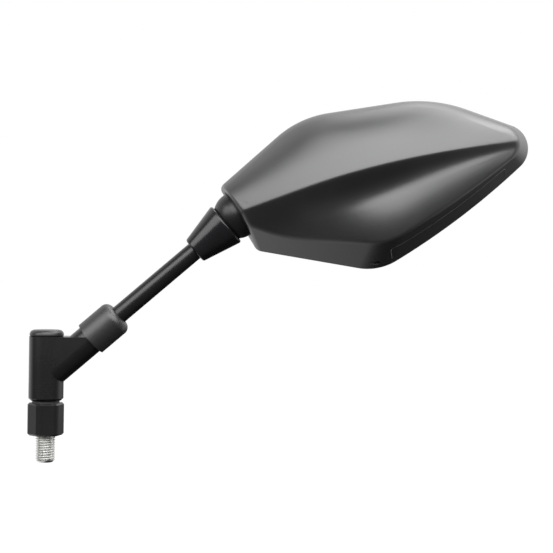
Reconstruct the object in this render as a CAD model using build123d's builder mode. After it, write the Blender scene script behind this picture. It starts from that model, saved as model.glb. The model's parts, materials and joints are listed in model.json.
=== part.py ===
from build123d import *
import os
from math import asin, cos, radians, sin, sqrt, tan

os.makedirs("parts", exist_ok=True)

# Motorcycle mirror for the left side, in millimetres. The origin is the centre of the hexagon's
# seat, the stud points down, the stem rises towards +X and the glass faces +Y.

# Clearances
thread_gap = 0.05
running_gap = 0.05
ball_gap = 0.1
loose_gap = 0.4
sleeve_gap = 0.1

# Mounting stud and hexagon
stud_d = 10.0
stud_length = 13.7
stud_grip = 9.0
stud_grip_d = 9.0
stud_chamfer = 1.2
stud_mouth = 0.8
hex_flats = 17.0
hex_turned_d = 18.3
hex_height = 16.5
hex_chamfer = 0.9
journal_d = 12.4
thrust_d = 13.8
thrust_thickness = 1.1

# Friction pivot inside the bracket's barrel
bush_wall = 0.8
bush_length = 11.0
pivot_floor = 4.7
bolt_d = 8.0
bolt_grip = 15.0
bolt_head_d = 13.0
bolt_head_height = 5.0
bolt_key_flats = 5.0
bolt_key_depth = 3.0
washer_thickness = 1.0
disc_d = 13.4
disc_thickness = 0.8
disc_rise = 0.45
disc_count = 4

# Bracket and its cap
barrel_d = 17.6
barrel_chamfer = 1.2
head_room = 1.9
plug_depth = 2.6
plug_wall = 1.6
cap_d = 17.2
cap_height = 3.3
cap_round = 2.4
cap_seam = 0.5
stem_rise = 12.2
stem_angle = 41.0
boss_d = 15.6
boss_length = 33.0

# Stem, lock nut and boot
rod_d = 9.4
rod_thread_d = 10.0
rod_thread_length = 26.3
rod_grip = 16.3
rod_chamfer = 1.0
nut_flats = 14.0
nut_turned_d = 15.4
nut_height = 6.0
boot_d = 18.3
boot_length = 18.8
boot_overlap = 3.3
boot_round = 3.8
boot_lip = 0.9

# Ball joint, placed along the stem from where its line crosses the stud's
ball_reach = 127.3
ball_d = 14.0
neck_d = 7.4
neck_taper = 4.0
tilt_range = 10.0
seat_wall = 2.1
seat_rear_d = 8.0
seat_slot = 1.5
socket_d = 24.1
socket_barrel_d = 21.8
cup_lead = 4.5
cup_back = 3.4
joint_disc_d = 17.6
joint_disc_hole_d = 9.2
joint_disc_thickness = 1.0
joint_disc_rise = 0.6
joint_disc_count = 2
plug_length = 4.0
plug_key_flats = 8.0
plug_key_depth = 2.5

# Cone cover
cone_offset = 7.0
cone_length = 21.4
cone_small_d = 13.8
cone_wall = 1.7
cone_gap = 0.4
cone_hub_inset = 3.6
cone_hub_length = 6.0
cone_lip = 1.2
cone_lip_inside = 0.3

# Head: u runs along its crest, v across it, h towards the back, all from the ball's centre
head_angle = 15.0
rim_depth = 15.0
head_height = 50.0
head_wall = 2.4
back_wall = 3.0
crest_round = 1.6
hole_gap = 0.4
rear_wall = 2.4
hole_depth = 9.0

# Corners of the rim, the radius at each and the draft of the side that follows it
collar_top = (-5.9, 16.8)
shoulder = (43.5, 42.1)
crown = (113.3, 35.4)
tip = (169.3, -2.3)
heel = (65.5, -46.7)
collar_foot = (5.1, -19.8)
collar_top_r = 3.5
shoulder_r = 52.0
crown_r = 76.0
tip_r = 12.7
heel_r = 29.0
collar_foot_r = 5.0
upper_left_draft = 5.0
top_draft = 8.0
upper_right_draft = 12.0
lower_right_draft = 18.0
bottom_draft = 24.0
collar_draft = 4.4
corner_shrink = 0.5
corner_least = 0.6

# Sections of the back: distance along the crest, then (v, h) of the upper edge, the crest, the
# scoop's foot, the lower panel's bulge and the lower edge, and the slope at the bulge
back_sections = [
    (-12.0, (16.5, -5.0), (-1.5, 18.5), (-6.0, 13.8), (-12.0, 8.2), (-32.0, -11.0), 0.94),
    (20.0, (32.5, -5.0), (1.2, 27.0), (-6.0, 20.0), (-14.0, 12.0), (-38.0, -12.0), 0.94),
    (45.0, (42.5, -5.0), (3.4, 31.0), (-6.5, 21.8), (-15.0, 18.8), (-48.0, -13.0), 0.28),
    (70.0, (41.5, -5.0), (4.3, 32.0), (-6.5, 22.6), (-14.2, 23.0), (-56.0, -14.0), -0.14),
    (95.0, (39.0, -5.0), (3.9, 29.5), (-2.4, 23.9), (-10.2, 23.5), (-48.0, -14.0), -0.08),
    (120.0, (32.5, -5.0), (2.5, 22.5), (-1.2, 19.4), (-6.2, 18.9), (-38.0, -14.0), 0.03),
    (145.0, (17.5, -7.0), (0.5, 12.0), (-1.4, 10.6), (-3.8, 10.0), (-28.0, -12.0), 0.14),
    (175.0, (2.0, -11.0), (-3.0, -3.0), (-4.2, -3.8), (-6.4, -4.4), (-24.0, -12.0), 0.2),
]
upper_fall = 15.0
upper_turn = 80.0
base_margin = 6.0

# Glass
glass_thickness = 2.0
glass_radius = 1200.0
glass_inset = 0.3
glass_collar = 12.0
glass_collar_ease = 0.5
glass_edge_gap = 0.2
glass_center = (75.0, -3.0)
rim_wall = 2.0
ledge_width = 3.0
ledge_thickness = 2.0
ledge_depth = 5.6
pad_edge = 0.6

# Socket frame and its screws
frame_level = 4.0
frame_thickness = 3.0
frame_pad_d = 12.0
frame_screws_at = [(34.0, 20.0), (36.0, -12.0), (62.0, 5.0)]
frame_root = 15.0
frame_root_d = 18.0
screw_d = 4.0
screw_length = 12.0
screw_head_d = 7.6
screw_head_height = 2.2
screw_slot = 1.0
post_d = 8.0

# Drain slot in the heel
drain_width = 3.6
drain_height = 2.0
drain_level = 6.0
drain_at = (61.6, -40.6)
drain_reach = 5.0

# Levels up the pivot
barrel_bottom = hex_height + thrust_thickness
bush_top = barrel_bottom + bush_length
floor_bottom = bush_top + loose_gap
floor_top = floor_bottom + pivot_floor
seat_top = floor_top + washer_thickness
discs_top = seat_top + disc_count * (disc_thickness + disc_rise)
bolt_seat = discs_top + washer_thickness
bolt_top = bolt_seat + bolt_head_height
barrel_top = bolt_top + head_room + plug_depth
bush_d = journal_d + 2 * (running_gap + bush_wall)
pocket_d = disc_d + 2 * loose_gap

# The stem's line and the planes that follow it
along = Vector(cos(radians(stem_angle)), 0, sin(radians(stem_angle)))
stem_foot = Vector(0, 0, barrel_bottom + stem_rise)
stem_plane = Plane(origin=stem_foot, x_dir=along, z_dir=(0, -1, 0))
stem_axis = Axis(stem_foot, along)
ball_center = stem_foot + along * ball_reach
joint_plane = Plane(origin=ball_center, x_dir=along, z_dir=(0, -1, 0))


def across_stem(reach):
    # Plane square to the stem, at a distance along it
    return Plane(origin=stem_foot + along * reach, x_dir=(0, 1, 0), z_dir=along)


# Mounting stud
with BuildPart() as mount_stud:
    with BuildSketch():
        Circle(stud_d / 2)
    extrude(amount=-stud_length)
    with BuildSketch():
        Circle(stud_grip_d / 2)
    extrude(amount=stud_grip)
    chamfer(mount_stud.edges().sort_by(Axis.Z)[0], stud_chamfer)

# Hexagon with turned ends, the pivot journal on top and both threaded holes
journal_top = bush_top
with BuildPart() as hex_adapter:
    with BuildSketch():
        RegularPolygon(hex_flats / 2, 6, major_radius=False)
    extrude(amount=hex_height)
    with BuildSketch(mode=Mode.PRIVATE) as turned:
        Circle(hex_turned_d / 2)
    extrude(turned.sketch, amount=hex_height, mode=Mode.INTERSECT)
    hex_ends = hex_adapter.faces().filter_by(Axis.Z)
    chamfer(hex_ends.edges(), hex_chamfer)
    with BuildSketch(Plane.XY.offset(hex_height)):
        Circle(journal_d / 2)
    extrude(amount=journal_top - hex_height)
    with BuildSketch():
        Circle(stud_grip_d / 2 + thread_gap)
    extrude(amount=stud_grip, mode=Mode.SUBTRACT)
    seat_edges = hex_adapter.edges().filter_by(GeomType.CIRCLE).group_by(Axis.Z)[0]
    chamfer(seat_edges.sort_by(SortBy.RADIUS)[0], stud_mouth)
    with BuildSketch(Plane.XY.offset(journal_top)):
        Circle(bolt_d / 2 + thread_gap)
    extrude(amount=-bolt_grip - loose_gap, mode=Mode.SUBTRACT)

# Thrust washer between hexagon and bracket
with BuildPart() as thrust_washer:
    with BuildSketch(Plane.XY.offset(hex_height)):
        Circle(thrust_d / 2)
        Circle(journal_d / 2 + running_gap, mode=Mode.SUBTRACT)
    extrude(amount=thrust_thickness)

# Plain bush in the bracket
with BuildPart() as swivel_bush:
    with BuildSketch(Plane.XY.offset(barrel_bottom)):
        Circle(bush_d / 2)
        Circle(journal_d / 2 + running_gap, mode=Mode.SUBTRACT)
    extrude(amount=bush_length)

# Bracket: upright barrel, web under a level top, slanted boss for the stem
boot_start = boss_length - boot_overlap
with BuildPart() as bracket:
    with BuildSketch(across_stem(0)):
        Circle(boss_d / 2)
        Rectangle(boss_d, boss_length, align=(Align.CENTER, Align.MIN))
    extrude(amount=boot_start - loose_gap)
    split(bisect_by=Plane.YZ, keep=Keep.TOP)
    split(bisect_by=Plane.XY.offset(barrel_top), keep=Keep.BOTTOM)
    with BuildSketch(Plane.XY.offset(barrel_bottom)):
        Circle(barrel_d / 2)
    extrude(amount=barrel_top - barrel_bottom)
    barrel_foot = bracket.edges().filter_by(GeomType.CIRCLE).sort_by(Axis.Z)[0]
    chamfer(barrel_foot, barrel_chamfer)
    with BuildSketch(across_stem(0)):
        Circle(boss_d / 2)
    extrude(amount=boss_length)
    with BuildSketch(Plane.XY.offset(barrel_bottom)):
        Circle(bush_d / 2 + running_gap)
    extrude(amount=floor_bottom - barrel_bottom, mode=Mode.SUBTRACT)
    with BuildSketch(Plane.XY.offset(floor_bottom)):
        Circle(bolt_d / 2 + loose_gap)
    extrude(amount=pivot_floor, mode=Mode.SUBTRACT)
    with BuildSketch(Plane.XY.offset(floor_top)):
        Circle(pocket_d / 2)
    extrude(amount=barrel_top - floor_top, mode=Mode.SUBTRACT)
    with BuildSketch(across_stem(boss_length)):
        Circle(rod_thread_d / 2 + thread_gap)
    extrude(amount=-rod_grip - loose_gap, mode=Mode.SUBTRACT)

# Flat washers under and over the disc springs
with BuildPart() as spring_seat:
    with BuildSketch(Plane.XY.offset(floor_top)):
        Circle(disc_d / 2)
        Circle(bolt_d / 2 + loose_gap, mode=Mode.SUBTRACT)
    extrude(amount=washer_thickness)

with BuildPart() as bolt_washer:
    with BuildSketch(Plane.XY.offset(discs_top)):
        Circle(disc_d / 2)
        Circle(bolt_d / 2 + loose_gap, mode=Mode.SUBTRACT)
    extrude(amount=washer_thickness)

# Disc springs, stacked mouth to mouth
with BuildPart() as disc_springs:
    for turn in range(disc_count):
        low = seat_top + turn * (disc_thickness + disc_rise)
        inner_lift = disc_rise * (turn % 2)
        outer_lift = disc_rise - inner_lift
        hole_r = bolt_d / 2 + loose_gap
        with BuildSketch(Plane.XZ):
            with BuildLine():
                Polyline(
                    (hole_r, low + inner_lift),
                    (disc_d / 2, low + outer_lift),
                    (disc_d / 2, low + outer_lift + disc_thickness),
                    (hole_r, low + inner_lift + disc_thickness),
                    close=True,
                )
            make_face()
        revolve(axis=Axis.Z)

# Pivot bolt with a hexagon key socket
with BuildPart() as pivot_bolt:
    with BuildSketch(Plane.XY.offset(journal_top - bolt_grip)):
        Circle(bolt_d / 2)
    extrude(amount=bolt_seat - journal_top + bolt_grip)
    with BuildSketch(Plane.XY.offset(bolt_seat)):
        Circle(bolt_head_d / 2)
    extrude(amount=bolt_head_height)
    with BuildSketch(Plane.XY.offset(bolt_top)):
        RegularPolygon(bolt_key_flats / 2, 6, major_radius=False)
    extrude(amount=-bolt_key_depth, mode=Mode.SUBTRACT)

# Domed cap with a hollow plug
with BuildPart() as top_cap:
    with BuildSketch(Plane.XY.offset(barrel_top)):
        Circle(cap_d / 2)
    extrude(amount=cap_height)
    fillet(top_cap.edges().sort_by(Axis.Z)[-1], cap_round)
    chamfer(top_cap.edges().sort_by(Axis.Z)[0], cap_seam)
    with BuildSketch(Plane.XY.offset(barrel_top)):
        Circle(pocket_d / 2 - sleeve_gap)
        Circle(pocket_d / 2 - sleeve_gap - plug_wall, mode=Mode.SUBTRACT)
    extrude(amount=-plug_depth)

# Stem: threaded foot, rod, neck and ball in one turning
rod_start = boss_length - rod_grip
thread_end = rod_start + rod_thread_length
socket_r = socket_d / 2
neck_start = ball_reach - socket_r - loose_gap
ball_foot = ball_reach - sqrt((ball_d / 2) ** 2 - (neck_d / 2) ** 2)
with BuildPart() as stem_rod:
    with BuildSketch(stem_plane):
        with BuildLine():
            Polyline(
                (rod_start, 0),
                (rod_start, rod_thread_d / 2 - rod_chamfer),
                (rod_start + rod_chamfer, rod_thread_d / 2),
                (thread_end, rod_thread_d / 2),
                (thread_end, rod_d / 2),
                (neck_start - neck_taper, rod_d / 2),
                (neck_start, neck_d / 2),
                (ball_foot, neck_d / 2),
            )
            ThreePointArc(
                (ball_foot, neck_d / 2), (ball_reach, ball_d / 2), (ball_reach + ball_d / 2, 0)
            )
            Line((ball_reach + ball_d / 2, 0), (rod_start, 0))
        make_face()
    revolve(axis=stem_axis)

# Lock nut against the boss
with BuildPart() as stem_lock_nut:
    with BuildSketch(across_stem(boss_length)):
        RegularPolygon(nut_flats / 2, 6, major_radius=False)
        Circle(nut_turned_d / 2, mode=Mode.INTERSECT)
        Circle(rod_thread_d / 2 + thread_gap, mode=Mode.SUBTRACT)
    extrude(amount=nut_height)

# Rubber boot over the boss's end, the nut and the thread
boot_end = boot_start + boot_length
nut_end = boss_length + nut_height
boot_mouth_r = max(boss_d, nut_turned_d) / 2 + sleeve_gap
with BuildPart() as stem_boot:
    with BuildSketch(stem_plane) as boot_sketch:
        with BuildLine():
            Polyline(
                (boot_start, boot_mouth_r),
                (boot_start, boot_d / 2),
                (boot_end, boot_d / 2),
                (boot_end, rod_d / 2 + sleeve_gap),
                (thread_end + loose_gap, rod_d / 2 + sleeve_gap),
                (thread_end + loose_gap, rod_thread_d / 2 + sleeve_gap),
                (nut_end + loose_gap, rod_thread_d / 2 + sleeve_gap),
                (nut_end + loose_gap, boot_mouth_r),
                close=True,
            )
        make_face()
        outer = boot_sketch.vertices().group_by(Axis.Y)[-1].sort_by(Axis.X)
        fillet(outer[-1], boot_round)
        fillet(outer[0], boot_lip)
    revolve(axis=stem_axis)

# Cone cover: a thin cone round the neck, with a hub that grips the rod
cone_end = ball_reach - cone_offset
cone_start = cone_end - cone_length
mouth_r = sqrt((socket_r + cone_gap) ** 2 - cone_offset ** 2)
cone_big_r = mouth_r + cone_wall
hub_start = cone_start + cone_hub_inset
with BuildPart() as cone_cover:
    with BuildSketch(stem_plane) as cone_sketch:
        with BuildLine():
            Polyline(
                (cone_start, cone_small_d / 2 - cone_wall),
                (cone_start, cone_small_d / 2),
                (cone_end, cone_big_r),
                (cone_end, mouth_r),
                close=True,
            )
        make_face()
        lips = cone_sketch.vertices().sort_by(Axis.X)
        outer_lips = [lips[:2].sort_by(Axis.Y)[-1], lips[2:].sort_by(Axis.Y)[-1]]
        inner_lips = [lips[:2].sort_by(Axis.Y)[0], lips[2:].sort_by(Axis.Y)[0]]
        fillet(outer_lips, cone_lip)
        fillet(inner_lips, cone_lip_inside)
    revolve(axis=stem_axis)
    slope = (cone_big_r - cone_small_d / 2) / cone_length
    hub_r = cone_small_d / 2 - cone_wall / 2 + slope * cone_hub_inset
    with BuildSketch(stem_plane):
        with BuildLine():
            Polyline(
                (hub_start, rod_d / 2 + thread_gap),
                (hub_start, hub_r),
                (hub_start + cone_hub_length, hub_r + slope * cone_hub_length),
                (hub_start + cone_hub_length, rod_d / 2 + thread_gap),
                close=True,
            )
        make_face()
    revolve(axis=stem_axis)

# Ball joint radii, and how far the neck swings in each opening
seat_inner_r = ball_d / 2 + ball_gap
seat_outer_r = seat_inner_r + seat_wall
bore_r = seat_outer_r + ball_gap
swing = tilt_range * sqrt(2)
socket_mouth_r = socket_r * sin(asin(neck_d / socket_d) + radians(swing)) + loose_gap
seat_mouth_r = seat_outer_r * sin(asin(neck_d / 2 / seat_outer_r) + radians(tilt_range)) + loose_gap
cup_end = seat_outer_r + ball_gap + cup_back
discs_end = cup_end + joint_disc_count * (joint_disc_thickness + joint_disc_rise)
plug_end = discs_end + plug_length
side = (Align.MIN, Align.MIN)
front_side = (Align.MAX, Align.MIN)
half_side = (Align.CENTER, Align.MIN)

# Nylon seat round the ball, slotted behind so that it springs over it
with BuildPart() as ball_seat:
    with BuildSketch(joint_plane):
        Circle(seat_outer_r)
        Circle(seat_inner_r, mode=Mode.SUBTRACT)
        Rectangle(socket_d, socket_d, align=half_side, mode=Mode.INTERSECT)
        Rectangle(socket_d, seat_mouth_r, align=front_side, mode=Mode.SUBTRACT)
        Rectangle(socket_d, seat_rear_d / 2, align=side, mode=Mode.SUBTRACT)
    revolve(axis=stem_axis)
    with BuildSketch(across_stem(ball_reach)):
        with PolarLocations(0, 2, angular_range=180):
            Rectangle(socket_d, seat_slot)
    extrude(amount=socket_d, mode=Mode.SUBTRACT)

# Pressure cup that the disc springs push against the seat
with BuildPart() as pressure_cup:
    with BuildSketch(joint_plane):
        with Locations((cup_lead, 0)):
            Rectangle(cup_end - cup_lead, bore_r - ball_gap, align=side)
        Circle(seat_outer_r + ball_gap, mode=Mode.SUBTRACT)
    revolve(axis=stem_axis)

with BuildPart() as socket_springs:
    for turn in range(joint_disc_count):
        low = cup_end + turn * (joint_disc_thickness + joint_disc_rise)
        inner_lift = joint_disc_rise * (1 - turn % 2)
        outer_lift = joint_disc_rise - inner_lift
        with BuildSketch(joint_plane):
            with BuildLine():
                Polyline(
                    (low + inner_lift, joint_disc_hole_d / 2),
                    (low + outer_lift, joint_disc_d / 2),
                    (low + outer_lift + joint_disc_thickness, joint_disc_d / 2),
                    (low + inner_lift + joint_disc_thickness, joint_disc_hole_d / 2),
                    close=True,
                )
            make_face()
        revolve(axis=stem_axis)

# Threaded plug that closes the socket and sets the preload
with BuildPart() as preload_plug:
    with BuildSketch(across_stem(ball_reach + discs_end)):
        Circle(bore_r - thread_gap)
    extrude(amount=plug_length)
    with BuildSketch(across_stem(ball_reach + plug_end)):
        RegularPolygon(plug_key_flats / 2, 6, major_radius=False)
    extrude(amount=-plug_key_depth, mode=Mode.SUBTRACT)

# Planes of the head
head_x = Vector(cos(radians(head_angle)), 0, sin(radians(head_angle)))
head_plane = Plane(origin=ball_center, x_dir=head_x, z_dir=(0, -1, 0))
rim_plane = head_plane.offset(-rim_depth)


def section_plane(reach):
    # Plane square to the crest, v across it and h towards the back
    return Plane(origin=ball_center + head_x * reach, x_dir=head_plane.y_dir, z_dir=head_x)


# Socket frame: the spherical neck and its barrel, on a plate screwed into the housing
frame_low = -frame_level - frame_thickness
root_at = head_plane.to_local_coords(ball_center + along * frame_root)
with BuildPart() as socket_frame:
    with BuildSketch(joint_plane):
        Circle(socket_r)
        Rectangle(plug_end, socket_barrel_d / 2, align=side)
        Rectangle(socket_d + plug_end, socket_d, align=half_side, mode=Mode.INTERSECT)
    revolve(axis=stem_axis)
    with BuildSketch(head_plane.offset(frame_low)):
        with Locations((root_at.X, root_at.Y)):
            Circle(frame_root_d / 2)
        with Locations(*frame_screws_at):
            Circle(frame_pad_d / 2)
        make_hull()
    extrude(amount=frame_thickness)
    with BuildSketch(joint_plane):
        Circle(bore_r)
        Rectangle(plug_end, bore_r, align=side)
        Rectangle(socket_d, socket_mouth_r, align=front_side)
        Rectangle(2 * plug_end, socket_d, align=half_side, mode=Mode.INTERSECT)
    revolve(axis=stem_axis, mode=Mode.SUBTRACT)
    with BuildSketch(head_plane.offset(frame_low)):
        with Locations(*frame_screws_at):
            Circle(screw_d / 2 + loose_gap)
    extrude(amount=frame_thickness, mode=Mode.SUBTRACT)

# Frame screws, heads towards the glass
with BuildPart() as frame_screws:
    with BuildSketch(head_plane.offset(frame_low)):
        with Locations(*frame_screws_at):
            Circle(screw_d / 2)
    extrude(amount=screw_length)
    with BuildSketch(head_plane.offset(frame_low)):
        with Locations(*frame_screws_at):
            Circle(screw_head_d / 2)
    extrude(amount=-screw_head_height)
    with BuildSketch(head_plane.offset(frame_low - screw_head_height)):
        with Locations(*frame_screws_at):
            Rectangle(screw_head_d, screw_slot)
    extrude(amount=screw_head_height / 2, mode=Mode.SUBTRACT)

# The rim's corners, clockwise from the collar, and what belongs to each
rim_corners = [collar_top, shoulder, crown, tip, heel, collar_foot]
rim_radii = [collar_top_r, shoulder_r, crown_r, tip_r, heel_r, collar_foot_r]
rim_drafts = [
    upper_left_draft,
    top_draft,
    upper_right_draft,
    lower_right_draft,
    bottom_draft,
    collar_draft,
]


def head_outline(height, inset, collar_shift):
    # Corners and radii of the head's outline at a height above the rim, moved in by an inset,
    # with the collar's side moved in further for the glass
    count = len(rim_corners)
    normals = []
    for here, there in zip(rim_corners, rim_corners[1:] + rim_corners[:1]):
        run = Vector(*there) - Vector(*here)
        normals.append(Vector(run.Y, -run.X).normalized())
    moves = [height * tan(radians(draft)) + inset for draft in rim_drafts]
    moves[-1] += collar_shift
    eases = [0] * count
    eases[0] = eases[-1] = glass_collar_ease * collar_shift
    corners = []
    radii = []
    for index in range(count):
        before, after = normals[index - 1], normals[index]
        shift_a, shift_b = moves[index - 1], moves[index]
        turn = before.X * after.Y - before.Y * after.X
        step_u = (shift_a * after.Y - shift_b * before.Y) / turn
        step_v = (before.X * shift_b - after.X * shift_a) / turn
        corner = Vector(*rim_corners[index]) + Vector(step_u, step_v)
        drafted = min(shift_a, shift_b) - inset
        corners.append((corner.X, corner.Y))
        radius = rim_radii[index] + eases[index] - inset - corner_shrink * drafted
        radii.append(max(corner_least, radius))
    return corners, radii


def outline_sketch(height, inset, collar_shift=0):
    corners, radii = head_outline(height, inset, collar_shift)
    with BuildSketch(rim_plane.offset(height)) as sketch:
        with BuildLine():
            FilletPolyline(*corners, radius=radii, close=True)
        make_face()
    return sketch.sketch


def head_form(lift, inset, drop):
    # Solid of the head's outside, or of its hollow when lifted, moved in and dropped by the walls
    base = -rim_depth - base_margin
    start = Vector(cos(radians(upper_fall)), -sin(radians(upper_fall)))
    finish = Vector(cos(radians(upper_turn)), -sin(radians(upper_turn)))
    with BuildPart() as back:
        for reach, upper, crest, foot, bulge, lower, fall in back_sections:
            with BuildSketch(section_plane(reach)) as section_sketch:
                with BuildLine():
                    points = [Vector(v, h - drop) for v, h in (upper, crest, foot, bulge, lower)]
                    top, ridge, scoop, swell, end = points
                    top -= Vector(inset, 0)
                    end += Vector(inset, 0)
                    turn = swell + Vector(-1, -fall) * (swell.X - end.X) / 2
                    Spline(ridge, top, tangents=(start, finish))
                    Polyline(top, (top.X, base), (end.X, base), end)
                    Bezier(end, turn, swell)
                    Spline(swell, scoop, ridge, tangents=(Vector(1, fall), ridge - scoop))
                make_face()
                fillet(section_sketch.vertices().sort_by(Axis.Y)[-1], crest_round)
        loft()
    with BuildPart() as form:
        loft([outline_sketch(lift, inset), outline_sketch(head_height, inset)], ruled=True)
        add(back.part, mode=Mode.INTERSECT)
    return form.part


outside = head_form(0, 0, 0)
hollow = head_form(rear_wall, head_wall, back_wall)

# Posts that take the frame's screws, trimmed to the back
with BuildPart() as posts:
    with BuildSketch(head_plane.offset(-frame_level)):
        with Locations(*frame_screws_at):
            Circle(post_d / 2)
    extrude(amount=head_height)
    add(outside, mode=Mode.INTERSECT)

# Housing: moulded shell with a pocket for the glass, a ledge behind it and the neck's hole
ledge_inner = head_wall + ledge_width
bottom_run = (Vector(*collar_foot) - Vector(*heel)).normalized()
drain_across = head_plane.x_dir * bottom_run.X + head_plane.y_dir * bottom_run.Y
drain_out = head_plane.x_dir * -bottom_run.Y + head_plane.y_dir * bottom_run.X
drain_center = rim_plane.from_local_coords((*drain_at, drain_level))
with BuildPart() as housing:
    add(outside)
    add(hollow, mode=Mode.SUBTRACT)
    extrude(
        outline_sketch(ledge_depth, head_wall / 2, glass_collar)
        - outline_sketch(ledge_depth, ledge_inner, glass_collar),
        amount=ledge_thickness,
    )
    loft(
        [outline_sketch(0, rim_wall, glass_collar), outline_sketch(ledge_depth, rim_wall, glass_collar)],
        ruled=True,
        mode=Mode.SUBTRACT,
    )
    add(posts.part)
    with BuildSketch(across_stem(ball_reach - socket_d)):
        Circle(socket_r + hole_gap)
    extrude(amount=socket_d + hole_depth, mode=Mode.SUBTRACT)
    with BuildSketch(across_stem(ball_reach)):
        Circle(socket_barrel_d / 2 + hole_gap)
    extrude(amount=plug_end + hole_gap, mode=Mode.SUBTRACT)
    with BuildSketch(head_plane.offset(-frame_level)):
        with Locations(*frame_screws_at):
            Circle(screw_d / 2 + thread_gap)
    extrude(amount=screw_length - frame_thickness + loose_gap, mode=Mode.SUBTRACT)
    with BuildSketch(Plane(origin=drain_center, x_dir=drain_across, z_dir=drain_out)):
        SlotOverall(drain_width, drain_height)
    extrude(amount=drain_reach, both=True, mode=Mode.SUBTRACT)

# Convex glass in the pocket, on a foam ring
glass_focus = (*glass_center, glass_inset + glass_radius)
glass_edge = rim_wall + glass_edge_gap
with BuildPart() as mirror_glass:
    extrude(outline_sketch(ledge_depth, glass_edge, glass_collar), amount=-ledge_depth)
    with Locations(Plane(origin=rim_plane.from_local_coords(glass_focus))):
        Sphere(glass_radius, mode=Mode.INTERSECT)
        Sphere(glass_radius - glass_thickness, mode=Mode.SUBTRACT)

with BuildPart() as glass_pad:
    extrude(
        outline_sketch(ledge_depth, glass_edge + pad_edge, glass_collar)
        - outline_sketch(ledge_depth, ledge_inner, glass_collar),
        amount=-ledge_depth,
    )
    with Locations(Plane(origin=rim_plane.from_local_coords(glass_focus))):
        Sphere(glass_radius - glass_thickness, mode=Mode.INTERSECT)
    with BuildSketch(across_stem(ball_reach)):
        Circle(socket_barrel_d / 2 + hole_gap)
    extrude(amount=plug_end + hole_gap, mode=Mode.SUBTRACT)

pieces = {
    "mount_stud": mount_stud,
    "hex_adapter": hex_adapter,
    "thrust_washer": thrust_washer,
    "swivel_bush": swivel_bush,
    "bracket": bracket,
    "spring_seat": spring_seat,
    "bolt_washer": bolt_washer,
    "disc_springs": disc_springs,
    "pivot_bolt": pivot_bolt,
    "top_cap": top_cap,
    "stem_rod": stem_rod,
    "stem_lock_nut": stem_lock_nut,
    "stem_boot": stem_boot,
    "cone_cover": cone_cover,
    "ball_seat": ball_seat,
    "pressure_cup": pressure_cup,
    "socket_springs": socket_springs,
    "preload_plug": preload_plug,
    "socket_frame": socket_frame,
    "frame_screws": frame_screws,
    "housing": housing,
    "mirror_glass": mirror_glass,
    "glass_pad": glass_pad,
}
for name, piece in pieces.items():
    piece.part.label = name
    export_step(piece.part, f"parts/{name}.step")
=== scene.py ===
import json
from math import cos, pi, radians, sin, tan

import bmesh
import bpy
import numpy as np
from mathutils import Matrix, Vector


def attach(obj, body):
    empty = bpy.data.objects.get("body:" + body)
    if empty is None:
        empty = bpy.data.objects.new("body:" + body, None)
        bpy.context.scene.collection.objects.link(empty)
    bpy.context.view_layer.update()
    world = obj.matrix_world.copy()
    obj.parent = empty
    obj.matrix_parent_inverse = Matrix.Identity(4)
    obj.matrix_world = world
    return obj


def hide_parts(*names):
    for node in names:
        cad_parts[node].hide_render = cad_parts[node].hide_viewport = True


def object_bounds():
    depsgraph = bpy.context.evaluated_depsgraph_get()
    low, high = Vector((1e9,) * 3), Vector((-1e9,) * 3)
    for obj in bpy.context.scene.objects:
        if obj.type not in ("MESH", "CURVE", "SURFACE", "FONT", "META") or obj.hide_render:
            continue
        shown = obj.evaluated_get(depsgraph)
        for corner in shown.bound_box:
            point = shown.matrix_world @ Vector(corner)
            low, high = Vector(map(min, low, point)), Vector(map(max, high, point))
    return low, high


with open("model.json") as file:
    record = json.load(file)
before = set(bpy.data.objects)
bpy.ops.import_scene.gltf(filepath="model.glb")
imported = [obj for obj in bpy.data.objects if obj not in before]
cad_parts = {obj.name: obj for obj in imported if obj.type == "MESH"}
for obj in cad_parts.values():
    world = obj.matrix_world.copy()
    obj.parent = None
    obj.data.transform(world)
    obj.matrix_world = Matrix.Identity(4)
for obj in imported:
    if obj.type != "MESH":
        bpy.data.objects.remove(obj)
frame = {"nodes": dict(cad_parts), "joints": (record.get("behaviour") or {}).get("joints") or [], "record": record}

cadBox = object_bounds()
scene = bpy.context.scene
scene.view_settings.view_transform = "Standard"
nodes = frame["nodes"]
joints = {joint["name"]: joint for joint in frame["joints"]}
mm = 0.001
weld = 0.002 * mm  # points of a mesh closer than this are one
hair = 1e-6  # in mm, less than any real step


class Wire:
    # a socket that takes part in plain sums, each adding its Math node
    def __init__(self, sheet, socket):
        self.sheet = sheet
        self.socket = socket

    def calc(self, operation, first, second=0.0):
        return self.sheet.add("ShaderNodeMath", {"operation": operation}, {0: first, 1: second})

    def __add__(self, other):
        return self.calc("ADD", self, other)

    def __sub__(self, other):
        return self.calc("SUBTRACT", self, other)

    def __rsub__(self, other):
        return self.calc("SUBTRACT", other, self)

    def __mul__(self, other):
        return self.calc("MULTIPLY", self, other)

    def __truediv__(self, other):
        return self.calc("DIVIDE", self, other)

    __radd__ = __add__
    __rmul__ = __mul__


class NodeSheet:
    # a node tree with one method that adds any node
    def __init__(self, tree):
        self.tree = tree

    def add(self, kind, settings=None, inputs=None, out=0):
        node = self.tree.nodes.new(kind)
        for key, value in (settings or {}).items():
            setattr(node, key, value)
        for key, value in (inputs or {}).items():
            if isinstance(value, Wire):
                self.tree.links.new(value.socket, node.inputs[key])
            else:
                node.inputs[key].default_value = value
        return Wire(self, node.outputs[out]) if node.outputs else node


def ramp(sheet, value, low, high):
    # 0 below low, 1 above high, smooth between
    return sheet.add("ShaderNodeMapRange", {"interpolation_type": "SMOOTHSTEP"},
                     {"Value": value, "From Min": low, "From Max": high})


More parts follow.
